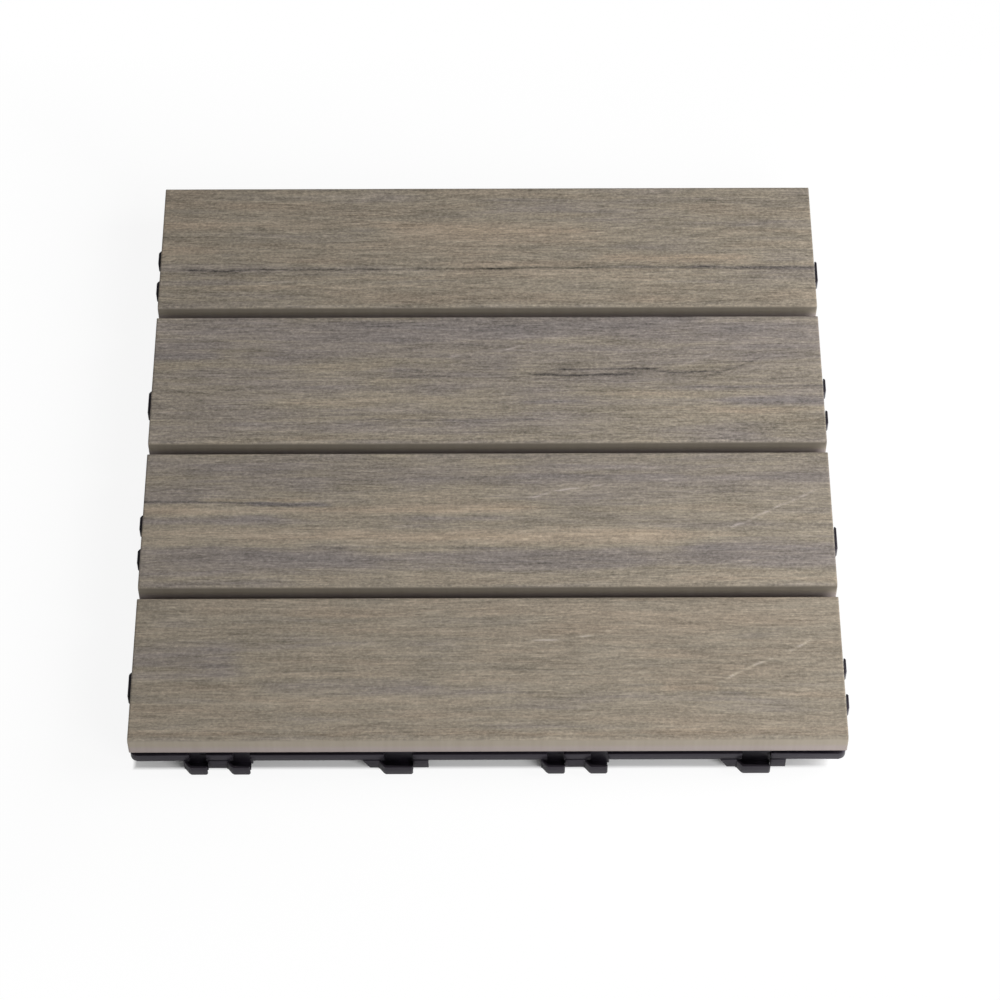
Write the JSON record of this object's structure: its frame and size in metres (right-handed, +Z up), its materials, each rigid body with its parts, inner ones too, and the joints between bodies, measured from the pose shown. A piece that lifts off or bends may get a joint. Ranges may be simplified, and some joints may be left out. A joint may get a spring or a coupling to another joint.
{
  "type": "interlocking deck tile",
  "caption": "Square outdoor deck tile: wood-grain composite slats screwed to a black moulded grid base with hook tabs along every edge.",
  "frame": {"origin": "centre of the tile in plan, on the ground plane under its feet", "axes": "+Z up through the deck; +X along the slats; +Y across the slats, away from the front edge in the picture"},
  "size_m": [0.3066, 0.3066, 0.024],
  "materials": {
    "composite": "capped wood-plastic composite with embossed grain, matt",
    "base_plastic": "black moulded polypropylene, fine satin",
    "screw_steel": "zinc-plated steel"
  },
  "bodies": {
    "root": {"base_grid": "base_plastic", "slat_1": "composite", "slat_2": "composite", "slat_3": "composite", "slat_4": "composite", "slat_screws": "screw_steel"}
  },
  "joints": []
}
